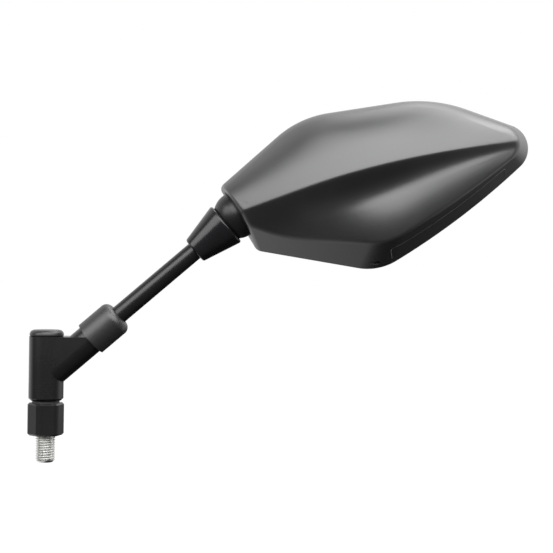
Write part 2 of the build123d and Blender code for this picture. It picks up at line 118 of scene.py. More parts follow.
def noise(sheet, size, detail):
    # cloudy pattern with patches of about that size in mm
    where = sheet.add("ShaderNodeTexCoord", out="Object")
    return sheet.add("ShaderNodeTexNoise", None, {"Vector": where, "Scale": 1 / (size * mm), "Detail": detail})


# spacing and size in mm, colour, what a speck adds to the roughness, and the soft step of the pick
dust = {"spacing": 5.5, "size": 0.34, "colour": (0.30, 0.30, 0.29), "rough": 0.3, "pickStep": 0.01}


def specks(sheet, share):
    # sparse round dots of dust, in that share of the cells
    where = sheet.add("ShaderNodeTexCoord", out="Object")
    cells = {"Vector": where, "Scale": 1 / (dust["spacing"] * mm)}
    away = sheet.add("ShaderNodeTexVoronoi", {"feature": "F1"}, cells, "Distance")
    pick = sheet.add("ShaderNodeTexVoronoi", {"feature": "F1"}, cells, "Color")
    lot = sheet.add("ShaderNodeSeparateColor", None, {0: pick})
    radius = dust["size"] / dust["spacing"]
    dot = 1 - ramp(sheet, away, radius / 2, radius)
    return dot * (1 - ramp(sheet, lot, share, share + dust["pickStep"]))


def tint(sheet, amount, low, high):
    # 6 and 7 are the colour sockets of a Mix node
    return sheet.add("ShaderNodeMix", {"data_type": "RGBA"}, {"Factor": amount, 6: low, 7: high}, 2)


# size of the slow clouds in mm, detail of clouds and grain, their shares in the colour and its soft limits
pattern = {"cloud": 24.0, "cloudDetail": 4.0, "grainDetail": 2.0, "cloudShare": 0.6, "grainShare": 0.4,
           "blotch": (0.3, 0.7)}

finishes = {
    # low and high colour, roughness and its spread, index, grain size and height in mm, dust share
    "housing_plastic": {
        "low": (0.016, 0.016, 0.017), "high": (0.023, 0.023, 0.024), "rough": 0.40, "spread": 0.05,
        "index": 1.8, "grain": 0.42, "height": 0.010, "dust": 0.035,
    },
    # lighter colour for the witness line: a painted highlight where the key light catches the ridge's rounded top
    "painted_highlight_line": {
        "low": (0.05, 0.05, 0.05), "high": (0.08, 0.08, 0.08), "rough": 0.45, "spread": 0.05,
        "index": 1.6, "grain": 0.42, "height": 0.004,
    },
    "boot_rubber": {
        "low": (0.011, 0.011, 0.011), "high": (0.017, 0.017, 0.0165), "rough": 0.42, "spread": 0.06,
        "index": 1.65, "grain": 0.6, "height": 0.006, "dust": 0.05,
    },
    "black_casting": {
        "low": (0.004, 0.004, 0.0043), "high": (0.0065, 0.0065, 0.0068), "rough": 0.28, "spread": 0.06,
        "index": 1.5, "grain": 0.9, "height": 0.002, "dust": 0.02,
    },
    "neck_casting": {
        "low": (0.007, 0.007, 0.0075), "high": (0.011, 0.011, 0.0115), "rough": 0.36, "spread": 0.06,
        "index": 1.5, "grain": 0.9, "height": 0.004, "dust": 0.02,
    },
    "black_steel": {
        "low": (0.004, 0.004, 0.0043), "high": (0.0065, 0.0065, 0.0068), "rough": 0.28, "spread": 0.05,
        "index": 1.5, "grain": 0.8, "height": 0.001, "dust": 0.012,
    },
    "cone_plastic": {
        "low": (0.006, 0.006, 0.007), "high": (0.009, 0.009, 0.010), "rough": 0.22, "spread": 0.04,
        "index": 1.5, "grain": 1.4, "height": 0.001, "dust": 0.05,
    },
    "cap_plastic": {
        "low": (0.012, 0.012, 0.013), "high": (0.018, 0.018, 0.018), "rough": 0.34, "spread": 0.06,
        "index": 1.5, "grain": 0.7, "height": 0.005, "dust": 0.02,
    },
    "nylon": {
        "low": (0.018, 0.018, 0.018), "high": (0.026, 0.026, 0.026), "rough": 0.5, "spread": 0.08,
        "index": 1.5, "grain": 0.7, "height": 0.008,
    },
    "foam": {
        "low": (0.014, 0.014, 0.014), "high": (0.026, 0.026, 0.026), "rough": 0.9, "spread": 0.05,
        "index": 1.4, "grain": 0.35, "height": 0.05,
    },
    "zinc_steel": {
        "low": (0.66, 0.66, 0.65), "high": (0.78, 0.78, 0.76), "rough": 0.30, "spread": 0.10,
        "index": 1.5, "grain": 0.6, "height": 0.0006, "metal": 1.0,
    },
    "spring_steel": {
        "low": (0.16, 0.16, 0.17), "high": (0.26, 0.26, 0.27), "rough": 0.34, "spread": 0.12,
        "index": 1.5, "grain": 0.6, "height": 0.006, "metal": 1.0,
    },
    "plug_steel": {
        "low": (0.38, 0.38, 0.38), "high": (0.5, 0.5, 0.5), "rough": 0.3, "spread": 0.12,
        "index": 1.5, "grain": 0.5, "height": 0.006, "metal": 1.0,
    },
    "mirror_glass": {
        "low": (0.80, 0.82, 0.83), "high": (0.84, 0.86, 0.87), "rough": 0.02, "spread": 0.02,
        "index": 1.5, "grain": 30.0, "height": 0.0, "metal": 1.0,
    },
}


def makeFinish(name):
    look = finishes[name]
    material = bpy.data.materials.new(name)
    material.use_nodes = True
    material.node_tree.nodes.clear()
    sheet = NodeSheet(material.node_tree)
    cloud = noise(sheet, pattern["cloud"], pattern["cloudDetail"])
    grain = noise(sheet, look["grain"], pattern["grainDetail"])
    mixed = pattern["cloudShare"] * cloud + pattern["grainShare"] * grain
    colour = tint(sheet, ramp(sheet, mixed, *pattern["blotch"]), (*look["low"], 1), (*look["high"], 1))
    rough = look["rough"] + look["spread"] * (cloud - 0.5)
    if look.get("dust"):
        speck = specks(sheet, look["dust"])
        colour = tint(sheet, speck, colour, (*dust["colour"], 1))
        rough = rough + dust["rough"] * speck
    inputs = {"Base Color": colour, "Roughness": rough, "Metallic": look.get("metal", 0.0),
              "IOR": look["index"]}
    if look["height"]:
        inputs["Normal"] = sheet.add("ShaderNodeBump", None,
                                     {"Height": grain, "Distance": look["height"] * mm, "Strength": 1.0})
    skin = sheet.add("ShaderNodeBsdfPrincipled", None, inputs)
    sheet.add("ShaderNodeOutputMaterial", None, {"Surface": skin})
    return material


materials = {name: makeFinish(name) for name in finishes}
for part in frame["record"]["subparts"]:
    mesh = nodes[part["node"]].data
    mesh.materials.clear()
    mesh.materials.append(materials[part["material_slot"]])
print("finishes on the CAD nodes")

# place, width of the view at the part and sensor in mm, roll in degrees
cameraView = {"place": (116.5, -620.0, 82.2), "field": 281.5, "sensor": 36.0, "roll": 0.8}


def placeCamera():
    data = bpy.data.cameras.new("photoCamera")
    data.sensor_width = cameraView["sensor"]
    data.lens = cameraView["sensor"] * -cameraView["place"][1] / cameraView["field"]
    camera = bpy.data.objects.new("photoCamera", data)
    level = Matrix.Rotation(radians(90), 4, "X")
    roll = Matrix.Rotation(radians(cameraView["roll"]), 4, "Z")
    camera.matrix_world = Matrix.Translation(Vector(cameraView["place"]) * mm) @ level @ roll
    scene.collection.objects.link(camera)
    scene.camera = camera


placeCamera()

studio = {
    # white table behind the part, dim room in front of it
    "tableLight": 0.5, "roomLight": 0.15,
    # limits of soft steps over the parts of a direction: the table from its near edge, the shade low on the
    # right and its far end, the dim below and the room in the shade, each with its share of loss
    "tableEdge": (-0.15, 0.45), "shadeSide": (-0.4, 0.1), "shadeBelow": (-0.2, 0.2), "shadeEnd": (0.6, 0.85),
    "shadeEndLoss": 0.8, "belowEdge": (0.0, 0.8), "belowLoss": 0.3, "roomEdge": (-0.4, 0.05), "roomLoss": 0.8,
    # soft boxes: place and size in mm, strength in watts
    "boxes": [
        {"name": "keyBox", "place": (411, -1135, 898), "size": (2600, 1200), "power": 44},
        {"name": "sideBox", "place": (1136, 34, 985), "size": (900, 900), "power": 9.6},
        {"name": "topBox", "place": (11, -593, 1373), "size": (1000, 600), "power": 6.0},
        {"name": "rightTopBox", "place": (681, -137, 1303), "size": (900, 800), "power": 5.3},
        {"name": "backTopBox", "place": (562, 468, 1263), "size": (1200, 700), "power": 6.4},
        {"name": "leftBox", "place": (-921, -764, 548), "size": (900, 800), "power": 8.1},
    ],
    "aim": (170, 0, 115),
    # floor in mm, its colour, and the white that the camera sees over most of it
    "floorDrop": 150.0, "floorSize": 60000.0, "floorColour": (0.82, 0.82, 0.82),
    "paperLight": 1.08, "paperShare": 0.9,
}


def lightStudio():
    world = bpy.data.worlds.new("studio")
    scene.world = world
    world.use_nodes = True
    world.node_tree.nodes.clear()
    sheet = NodeSheet(world.node_tree)
    look = sheet.add("ShaderNodeTexCoord", out="Generated")
    behind = sheet.add("ShaderNodeSeparateXYZ", None, {0: look}, "Y")
    above = sheet.add("ShaderNodeSeparateXYZ", None, {0: look}, "Z")
    aside = sheet.add("ShaderNodeSeparateXYZ", None, {0: look}, "X")
    under = 0 - above
    shade = ramp(sheet, aside, *studio["shadeSide"]) * ramp(sheet, under, *studio["shadeBelow"])
    shade = shade * (1 - studio["shadeEndLoss"] * ramp(sheet, aside, *studio["shadeEnd"]))
    table = ramp(sheet, behind, *studio["tableEdge"]) * (1 - shade)
    room = studio["roomLight"] * (1 - studio["belowLoss"] * ramp(sheet, under, *studio["belowEdge"]))
    room = room * (1 - studio["roomLoss"] * shade * ramp(sheet, behind, *studio["roomEdge"]))
    light = room + studio["tableLight"] * table
    seen = sheet.add("ShaderNodeLightPath", out="Is Camera Ray")
    gloss = sheet.add("ShaderNodeLightPath", out="Is Glossy Ray")
    through = sheet.add("ShaderNodeLightPath", out="Is Transmission Ray")
    white = seen.calc("MINIMUM", seen + (gloss + through) * table, 1.0)
    strength = light * (1 - white) + white
    glow = sheet.add("ShaderNodeBackground", None, {"Color": (1, 1, 1, 1), "Strength": strength})
    sheet.add("ShaderNodeOutputWorld", None, {"Surface": glow})
    for box in studio["boxes"]:
        data = bpy.data.lights.new(box["name"], "AREA")
        data.shape = "RECTANGLE"
        data.size, data.size_y = (side * mm for side in box["size"])
        data.energy = box["power"]
        lamp = bpy.data.objects.new(box["name"], data)
        lamp.location = Vector(box["place"]) * mm
        heading = Vector(studio["aim"]) * mm - lamp.location
        lamp.rotation_euler = heading.to_track_quat("-Z", "Y").to_euler()
        lamp.visible_camera = False
        scene.collection.objects.link(lamp)


def layFloor():
    half = studio["floorSize"] * mm / 2
    level = cadBox[0][2] - studio["floorDrop"] * mm
    mesh = bpy.data.meshes.new("floor")
    corners = [(-half, -half, level), (half, -half, level), (half, half, level), (-half, half, level)]
    mesh.from_pydata(corners, [], [(0, 1, 2, 3)])
    floor = bpy.data.objects.new("floor", mesh)
    scene.collection.objects.link(floor)
    material = bpy.data.materials.new("paleFloor")
    material.use_nodes = True
    material.node_tree.nodes.clear()
    sheet = NodeSheet(material.node_tree)
    seen = sheet.add("ShaderNodeLightPath", out="Is Camera Ray")
    cloth = sheet.add("ShaderNodeBsdfDiffuse", None, {"Color": (*studio["floorColour"], 1)})
    paper = sheet.add("ShaderNodeEmission", None, {"Color": (1, 1, 1, 1), "Strength": studio["paperLight"]})
    both = sheet.add("ShaderNodeMixShader", None, {0: seen * studio["paperShare"], 1: cloth, 2: paper})
    sheet.add("ShaderNodeOutputMaterial", None, {"Surface": both})
    mesh.materials.append(material)
    floor.visible_diffuse = floor.visible_glossy = floor.visible_transmission = False


lightStudio()
layFloor()
print("camera, light and floor")

stud = {
    # sizes in mm: thread on the lower end, plain grip in the hexagon above it
    "pitch": 1.25, "major": 5.0, "depth": 0.72, "gripRadius": 4.5, "gripLength": 9.0, "length": 13.7,
    "chamfer": 1.2,
    # points around, rows of the grip, rows in each turn of the thread and turns, one more than the thread has
    "around": 96, "gripRows": 4, "turnRows": 16, "turns": 12,
    # shares of a half pitch at which the flank leaves the crest and meets the root
    "flank": (0.2, 0.86),
    # share of a pitch that still counts as grip, and the sharp edge in degrees
    "gripEdge": 0.001, "crease": 40.0,
}


def makeStud():
    tree = bpy.data.node_groups.new("studThread", "GeometryNodeTree")
    tree.interface.new_socket("Geometry", in_out="OUTPUT", socket_type="NodeSocketGeometry")
    sizes = {"Pitch": stud["pitch"] * mm, "Major": stud["major"] * mm, "Depth": stud["depth"] * mm,
             "Grip Radius": stud["gripRadius"] * mm, "Grip Length": stud["gripLength"] * mm,
             "Length": stud["length"] * mm, "Chamfer": stud["chamfer"] * mm}
    keys = {}
    for name in sizes:
        keys[name] = tree.interface.new_socket(name, in_out="INPUT", socket_type="NodeSocketFloat").identifier
    sheet = NodeSheet(tree)
    size = {name: sheet.add("NodeGroupInput", out=name) for name in sizes}
    rows = stud["gripRows"] + stud["turnRows"] * stud["turns"]
    grid = sheet.add("GeometryNodeMeshGrid", None, {"Size X": 1.0, "Size Y": 1.0,
                                                    "Vertices X": stud["around"] + 1, "Vertices Y": rows + 1})
    spot = sheet.add("GeometryNodeInputPosition")
    around = sheet.add("ShaderNodeSeparateXYZ", None, {0: spot}, "X") + 0.5
    row = (sheet.add("ShaderNodeSeparateXYZ", None, {0: spot}, "Y") + 0.5) * rows
    row = row.calc("ROUND", row)
    turn = around * (2 * pi)
    # each row of the grid climbs with the thread, so crest and root run along its edges
    pitches = (row - stud["gripRows"]) / stud["turnRows"]
    pitches = pitches.calc("MAXIMUM", pitches, 0.0)
    climb = (around - pitches) * size["Pitch"]
    inGrip = climb.calc("GREATER_THAN", climb, -stud["gripEdge"] * stud["pitch"] * mm)
    level = climb.calc("MAXIMUM", climb.calc("MINIMUM", climb, 0.0), size["Length"] * -1)
    gripLevel = sheet.add("ShaderNodeMapRange", None, {"Value": row, "From Max": stud["gripRows"],
                                                       "To Min": 1.0, "To Max": 0.0})
    flank = pitches.calc("PINGPONG", pitches, 0.5) * 2
    groove = sheet.add("ShaderNodeMapRange", None, {"Value": flank, "From Min": stud["flank"][0],
                                                    "From Max": stud["flank"][1]})
    thread = size["Major"] - size["Depth"] * groove
    thread = thread.calc("MINIMUM", thread, size["Major"] - size["Chamfer"] + level + size["Length"])
    radius = size["Grip Radius"] * inGrip + thread * (1 - inGrip)
    level = level + gripLevel * size["Grip Length"]
    place = sheet.add("ShaderNodeCombineXYZ", None, {0: radius * turn.calc("COSINE", turn),
                                                     1: radius * turn.calc("SINE", turn), 2: level})
    skin = sheet.add("GeometryNodeSetPosition", None, {"Geometry": grid, "Position": place})
    caps = []
    ends = ((size["Grip Radius"], size["Grip Length"]), (size["Major"] - size["Chamfer"], size["Length"] * -1))
    for wide, rise in ends:
        disc = sheet.add("GeometryNodeMeshCircle", {"fill_type": "NGON"},
                         {"Vertices": stud["around"], "Radius": wide})
        move = sheet.add("ShaderNodeCombineXYZ", None, {2: rise})
        caps.append(sheet.add("GeometryNodeSetPosition", None, {"Geometry": disc, "Offset": move}))
    joined = sheet.add("GeometryNodeJoinGeometry")
    for part in (skin, *caps):
        tree.links.new(part.socket, joined.socket.node.inputs[0])
    welded = sheet.add("GeometryNodeMergeByDistance", None, {"Geometry": joined, "Distance": weld})
    whole = sheet.add("GeometryNodeRealizeInstances", None, {0: welded})
    dressed = sheet.add("GeometryNodeSetMaterial", None, {0: whole, "Material": materials["zinc_steel"]})
    sheet.add("NodeGroupOutput", None, {0: dressed})
    piece = bpy.data.objects.new("studThread", bpy.data.meshes.new("studThread"))
    scene.collection.objects.link(piece)
    rule = piece.modifiers.new("thread", "NODES")
    rule.node_group = tree
    for name, key in keys.items():
        rule[key] = sizes[name]
    shown = piece.evaluated_get(bpy.context.evaluated_depsgraph_get())
    mesh = bpy.data.meshes.new_from_object(shown)
    piece.modifiers.clear()
    piece.data = mesh
    shape = bmesh.new()
    shape.from_mesh(mesh)
    bmesh.ops.recalc_face_normals(shape, faces=shape.faces)
    shape.to_mesh(mesh)
    shape.free()
    mesh.polygons.foreach_set("use_smooth", [True] * len(mesh.polygons))
    mesh.set_sharp_from_angle(angle=radians(stud["crease"]))
    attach(piece, "base")
    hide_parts("mount_stud")


makeStud()
print("stud")

hexagon = {"turn": 17.0, "crease": 12.0}  # turn round the stud and sharp edge, in degrees


def makeHexagon():
    source = nodes["hex_adapter"].data
    spin = Matrix.Rotation(radians(hexagon["turn"]), 4, "Z")
    mesh = bpy.data.meshes.new("hexTurned")
    faces = [face.vertices for face in source.polygons]
    mesh.from_pydata([spin @ vertex.co for vertex in source.vertices], [], faces)
    shape = bmesh.new()
    shape.from_mesh(mesh)
    bmesh.ops.remove_doubles(shape, verts=shape.verts, dist=weld)
    shape.to_mesh(mesh)
    shape.free()
    mesh.polygons.foreach_set("use_smooth", [True] * len(mesh.polygons))
    mesh.set_sharp_from_angle(angle=radians(hexagon["crease"]))
    mesh.materials.append(materials["black_steel"])
    piece = bpy.data.objects.new("hexTurned", mesh)
    scene.collection.objects.link(piece)
    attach(piece, "base")
    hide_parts("hex_adapter")


makeHexagon()
print("hexagon")

moulding = {
    # sizes in mm: u along the crest, v across it, h towards the back, all from the ball's centre
    "tilt": 15.0, "rimDepth": 15.0, "topHeight": 50.0,
    # rim corners from the collar's top on, radius at each, draft of the side after it and the softness of that
    # side's back edge
    "corners": [(-5.9, 16.8), (43.5, 42.1), (113.3, 35.4), (169.3, -2.3), (65.5, -46.7), (5.1, -19.8)],
    "radii": [3.5, 52.0, 76.0, 12.7, 29.0, 5.0],
    "drafts": [5.0, 8.0, 12.0, 14.5, 19.5, 4.4],
    "edges": [5.0, 6.0, 6.0, 1.8, 2.2, 3.0],
    # outward bow of each side, in degrees at its ends
    "bows": [0.0, 0.0, 0.0, 6.0, 0.0, 0.0],
    # the collar's end wall and the drain's wall among the sides
    "collarSide": 5, "drainSide": 4,
    "cornerShrink": 0.5, "cornerLeast": 0.6,
    # sections of the back: u, then (v, h) of upper edge, crest, scoop's foot, bulge and lower edge, and the
    # fall of the bulge
    "sections": [
        (-12.0, (16.5, -5.0), (-1.5, 18.5), (-6.0, 13.8), (-12.0, 8.2), (-32.0, -11.0), 0.94),
        (20.0, (32.5, -5.0), (1.2, 27.0), (-6.0, 20.0), (-14.0, 12.0), (-38.0, -12.0), 0.94),
        (45.0, (42.5, -5.0), (3.4, 31.0), (-6.5, 21.8), (-15.0, 18.8), (-48.0, -9.0), 0.28),
        (70.0, (41.5, -5.0), (4.3, 32.0), (-6.5, 22.6), (-14.2, 23.0), (-56.0, -3.0), -0.14),
        (95.0, (39.0, -5.0), (3.9, 29.5), (-2.4, 23.9), (-10.2, 23.5), (-48.0, -5.0), -0.08),
        (120.0, (32.5, -5.0), (2.5, 22.5), (-1.2, 19.4), (-6.2, 18.9), (-38.0, -11.0), 0.03),
        (145.0, (17.5, -7.0), (0.5, 12.0), (-1.4, 10.6), (-3.8, 10.0), (-28.0, -12.0), 0.14),
        (175.0, (2.0, -11.0), (-3.0, -3.0), (-4.2, -3.8), (-6.4, -4.4), (-24.0, -12.0), 0.2),
    ],
    "upperFall": 16.0, "upperPower": 3.8, "lowerPower": 2.4, "crestSoft": 0.9, "crestEnds": (9.0, 136.0),
    "leastWall": 5.0, "leastSoft": 4.0,
    # inside: walls, glass pocket and ledge
    "sideWall": 2.4, "backWall": 3.0, "rimLip": 2.0, "glassCollar": 12.0, "collarEase": 0.5,
    "ledgeDepth": 5.6, "ledgeWidth": 3.0, "ledgeThick": 2.0,
    # neck hole and oval drain hole
    "stemTilt": 41.0, "holeRadius": 12.45, "holeBevel": 0.7, "holeDepth": 9.0, "holeLead": 8.0,
    "holeSides": 120, "barrelRadius": 11.3, "barrelDepth": 20.3, "barrelSides": 96,
    "drainSize": (5.0, 4.6), "drainAt": (62.6, -41.0), "drainLevel": 8.2, "drainReach": 5.0, "drainSides": 12,
    # points along each side, round each corner and along the crest
    "sidePoints": 44, "arcPoints": 30, "crestPoints": 41,
    # levels at which a wall is tried, points of a path, and a rib's rows by the crest, over the panel, round
    # the back edge and down the wall
    "levels": 240, "pathPoints": 160, "crestRows": 12, "panelRows": 50, "edgeRows": 18, "wallRows": 18,
    # share of the back that the crest's rows take and how they bunch, most of a run that an edge rounds, and
    # the sharp edge in degrees
    "crestShare": 0.06, "crestBunch": 1.5, "edgeMost": 0.45, "crease": 50.0,
}


def cubicThrough(stations, values, where):
    # natural cubic spline through the values, read at many places
    stations, values = np.array(stations, float), np.array(values, float)
    gaps = np.diff(stations)
    count = len(stations)
    matrix = np.eye(count)
    bends = np.zeros(count)
    for i in range(1, count - 1):
        matrix[i, i - 1:i + 2] = gaps[i - 1], 2 * (gaps[i - 1] + gaps[i]), gaps[i]
        bends[i] = 6 * ((values[i + 1] - values[i]) / gaps[i] - (values[i] - values[i - 1]) / gaps[i - 1])
    bends = np.linalg.solve(matrix, bends)
    i = np.clip(np.searchsorted(stations, where) - 1, 0, count - 2)
    low, high = where - stations[i], stations[i + 1] - where
    return (bends[i] * high ** 3 + bends[i + 1] * low ** 3) / (6 * gaps[i]) \
        + (values[i] / gaps[i] - bends[i] * gaps[i] / 6) * high \
        + (values[i + 1] / gaps[i] - bends[i + 1] * gaps[i] / 6) * low


def sectionAt(u):
    # (v, h) of upper edge, crest, foot, bulge and lower edge at each u, and the fall of the bulge
    rows = moulding["sections"]
    stations = [row[0] for row in rows]
    u = np.clip(u, stations[0], stations[-1])
    spots = [[cubicThrough(stations, [row[k][axis] for row in rows], u) for axis in (0, 1)]
             for k in range(1, 6)]
    return spots, cubicThrough(stations, [row[6] for row in rows], u)


def hermite(v, a, b, slopeA, slopeB):
    # cubic from a to b with given slopes
    run = b[0] - a[0]
    t = np.clip((v - a[0]) / run, 0, 1)
    return a[1] * (1 + 2 * t) * (1 - t) ** 2 + b[1] * t ** 2 * (3 - 2 * t) \
        + run * (slopeA * t * (1 - t) ** 2 - slopeB * t ** 2 * (1 - t))


def backHeight(u, v, inset=0.0, drop=0.0):
    # height of the moulded back over the ball's centre, as a smooth meeting of its two sides
    (upper, crest, foot, bulge, lower), fall = sectionAt(u)
    start = tan(radians(moulding["upperFall"]))
    span = upper[0] - inset - crest[0]
    away = v - crest[0]
    left = crest[1] - upper[1] - start * span
    upperSide = crest[1] - start * away - left * (np.maximum(away, 0) / span) ** moulding["upperPower"]
    steep = (crest[1] - foot[1]) / (crest[0] - foot[0])
    ease = (foot[1] - bulge[1]) / (foot[0] - bulge[0])
    turn = (steep * (foot[0] - bulge[0]) + ease * (crest[0] - foot[0])) / (crest[0] - bulge[0])
    beyond = crest[1] + steep * (v - crest[0])
    lowerSide = np.where(v > crest[0], beyond, hermite(v, crest, foot, steep, turn))
    lowerSide = np.where(v < foot[0], hermite(v, foot, bulge, turn, fall), lowerSide)
    reach = np.maximum(bulge[0] - v, 0)
    span = bulge[0] - lower[0] - inset
    left = bulge[1] - lower[1] - fall * span
    panel = bulge[1] - fall * reach - left * (reach / span) ** moulding["lowerPower"]
    lowerSide = np.where(v < bulge[0], panel, lowerSide)
    soft = moulding["crestSoft"]
    ridge = 0.5 * (upperSide + lowerSide - np.sqrt((upperSide - lowerSide) ** 2 + soft ** 2))
    least = moulding["leastWall"] - moulding["rimDepth"]
    blend = moulding["leastSoft"]
    return 0.5 * (ridge + least + np.sqrt((ridge - least) ** 2 + blend ** 2)) - drop


def rimOutline(height, inset=0.0, collarShift=0.0, bowed=True):
    # the head's rounded outline at a height over the rim, always with the same number of points
    corners = [np.array(corner) for corner in moulding["corners"]]
    count = len(corners)
    sides = [(corners[(i + 1) % count] - corners[i]) for i in range(count)]
    sides = [side / np.linalg.norm(side) for side in sides]
    normals = [np.array((side[1], -side[0])) for side in sides]
    moves = [height * tan(radians(draft)) + inset for draft in moulding["drafts"]]
    moves[-1] += collarShift
    bows = [radians(bow) if bowed else 0.0 for bow in moulding["bows"]]
    eases = [0.0] * count
    eases[0] = eases[-1] = moulding["collarEase"] * collarShift
    arcs = []
    for i in range(count):
        before, after = normals[i - 1], normals[i]
        corner = corners[i] + np.linalg.solve(np.array([before, after]), np.array([moves[i - 1], moves[i]]))
        drafted = min(moves[i - 1], moves[i]) - inset
        radius = max(moulding["cornerLeast"],
                     moulding["radii"][i] + eases[i] - inset - moulding["cornerShrink"] * drafted)
        middle = corner + (before + after) * radius / (1 + before @ after)
        start, end = np.arctan2(*-before[::-1]), np.arctan2(*-after[::-1])
        turn = (end - start + pi) % (2 * pi) - pi
        way = np.sign(turn)
        angles = start + np.linspace(way * bows[i - 1], turn - way * bows[i], moulding["arcPoints"])
        arcs.append(middle + radius * np.stack([np.cos(angles), np.sin(angles)], 1))
    points = []
    for i in range(count):
        steps = np.linspace(0, 1, moulding["sidePoints"] + 2)[1:-1, None]
        chord = arcs[(i + 1) % count][0] - arcs[i][-1]
        bulge = steps * (1 - steps) * np.linalg.norm(chord) * tan(bows[i]) * normals[i]
        points += [arcs[i], arcs[i][-1] + steps * chord - bulge]
    return np.concatenate(points)


def edgeSoftness():
    # how far the back edge is rounded at each point of the outline
    soft = []
    edges = moulding["edges"]
    for i, edge in enumerate(edges):
        soft += list(np.linspace(edges[i - 1], edge, moulding["arcPoints"])) + [edge] * moulding["sidePoints"]
    return np.array(soft)


def backRibs(lift, inset, drop, ends):
    # ribs from the crest out over the back and down the drafted wall, as rings of (u, v, h)
    heights = np.linspace(lift, moulding["topHeight"], moulding["levels"])
    walls = np.array([rimOutline(height, inset) for height in heights])
    over = heights[:, None] - moulding["rimDepth"] - backHeight(walls[..., 0], walls[..., 1], inset, drop)
    top = np.argmax(over > 0, axis=0)
    each = np.arange(walls.shape[1])
    share = over[top - 1, each] / (over[top - 1, each] - over[top, each])
    topHeight = heights[top - 1] + share * (heights[top] - heights[top - 1])
    brim = walls[top - 1, each] + share[:, None] * (walls[top, each] - walls[top - 1, each])
    foot = walls[0]
    # the crest's point that each rib runs to
    low, high = brim[:, 0].min(), brim[:, 0].max()
    crestU = ends[0] + (brim[:, 0] - low) / (high - low) * (ends[1] - ends[0])
    # both sides share the crest's points, so the skin closes along it
    stations = np.linspace(*ends, moulding["crestPoints"])
    crestU = stations[np.argmin(np.abs(crestU[:, None] - stations), axis=1)]
    crestV = sectionAt(crestU)[0][1][0]
    crest = np.stack([crestU, crestV], 1)
    softness = edgeSoftness()
    steps = np.linspace(0, 1, moulding["pathPoints"])[:, None]
    most = moulding["edgeMost"]
    ribs = []
    for i in each:
        flat = crest[i] + steps * (brim[i] - crest[i])
        back = np.column_stack([flat, backHeight(flat[:, 0], flat[:, 1], inset, drop)])
        wall = np.column_stack([brim[i] + steps[1:] * (foot[i] - brim[i]),
                                topHeight[i] + steps[1:] * (lift - topHeight[i]) - moulding["rimDepth"]])
        back[-1, 2] = topHeight[i] - moulding["rimDepth"]
        path = np.concatenate([back, wall])
        run = np.concatenate([[0], np.cumsum(np.linalg.norm(np.diff(path, axis=0), axis=1))])
        edge = run[len(back) - 1]
        reach = min(softness[i], most * (run[-1] - edge), most * edge)
        crestRun = moulding["crestShare"] * edge
        at = np.concatenate([
            np.linspace(0, 1, moulding["crestRows"]) ** moulding["crestBunch"] * crestRun,
            np.linspace(crestRun, edge - reach, moulding["panelRows"])[1:-1],
            np.linspace(edge - reach, edge + reach, moulding["edgeRows"]),
            np.linspace(edge + reach, run[-1], moulding["wallRows"])[1:],
        ])
        rib = np.column_stack([np.interp(at, run, path[:, k]) for k in range(3)])
        near = np.abs(at - edge) <= reach + hair
        t = ((at[near] - edge + reach) / (2 * reach))[:, None]
        begin, end = rib[near][0], rib[near][-1]
        rib[near] = begin * (1 - t) ** 2 + 2 * path[len(back) - 1] * t * (1 - t) + end * t ** 2
        ribs.append(rib)
    return np.array(ribs).transpose(1, 0, 2)


def headToWorld(points):
    # from the head's (u, v, h) in mm to the frame in metres
    tilt = radians(moulding["tilt"])
    ball = np.array(joints["head_lift"]["pos_m"])
    axes = np.array([(cos(tilt), 0, sin(tilt)), (-sin(tilt), 0, cos(tilt)), (0, -1, 0)])
    return ball + np.array(points) @ axes * mm


def ringMesh(name, rings, material):
    # skin through rings of equal length
    mesh = bpy.data.meshes.new(name)
    count = rings.shape[1]
    verts = headToWorld(rings.reshape(-1, 3))
    faces = []
    for row in range(len(rings) - 1):
        for i in range(count):
            j = (i + 1) % count
            faces.append((row * count + i, row * count + j, (row + 1) * count + j, (row + 1) * count + i))
    mesh.from_pydata(verts.tolist(), [], faces)
    shell = bmesh.new()
    shell.from_mesh(mesh)
    bmesh.ops.remove_doubles(shell, verts=shell.verts, dist=weld)
    bmesh.ops.dissolve_degenerate(shell, edges=shell.edges, dist=weld / 2)
    bmesh.ops.recalc_face_normals(shell, faces=shell.faces)
    shell.to_mesh(mesh)
    shell.free()
    mesh.materials.append(material)
    piece = bpy.data.objects.new(name, mesh)
    scene.collection.objects.link(piece)
    return piece


def barrelCutter():
    # plain cylinder from the ball's centre along the stem, room for the socket
    axis = Vector(joints["head_twist"]["axis"])
    radius, depth = moulding["barrelRadius"] * mm, moulding["barrelDepth"] * mm
    mesh = bpy.data.meshes.new("barrelTool")
    shape = bmesh.new()
    bmesh.ops.create_cone(shape, cap_ends=True, segments=moulding["barrelSides"], radius1=radius,
                          radius2=radius, depth=depth)
    turn = axis.to_track_quat("Z", "Y").to_matrix().to_4x4()
    middle = Vector(joints["head_lift"]["pos_m"]) + axis.normalized() * depth / 2
    bmesh.ops.transform(shape, matrix=Matrix.Translation(middle) @ turn, verts=shape.verts)
    shape.to_mesh(mesh)
    shape.free()
    piece = bpy.data.objects.new("barrelTool", mesh)
    scene.collection.objects.link(piece)
    return piece


def cutAway(piece, tools):
    # takes the tools' bodies out of the piece, and removes the tools
    for tool in tools:
        cut = piece.modifiers.new("cut", "BOOLEAN")
        cut.operation = "DIFFERENCE"
        cut.solver = "EXACT"
        cut.object = tool
    shown = piece.evaluated_get(bpy.context.evaluated_depsgraph_get())
    result = bpy.data.meshes.new_from_object(shown)
    piece.modifiers.clear()
    piece.data = result
    for tool in tools:
        bpy.data.objects.remove(tool)


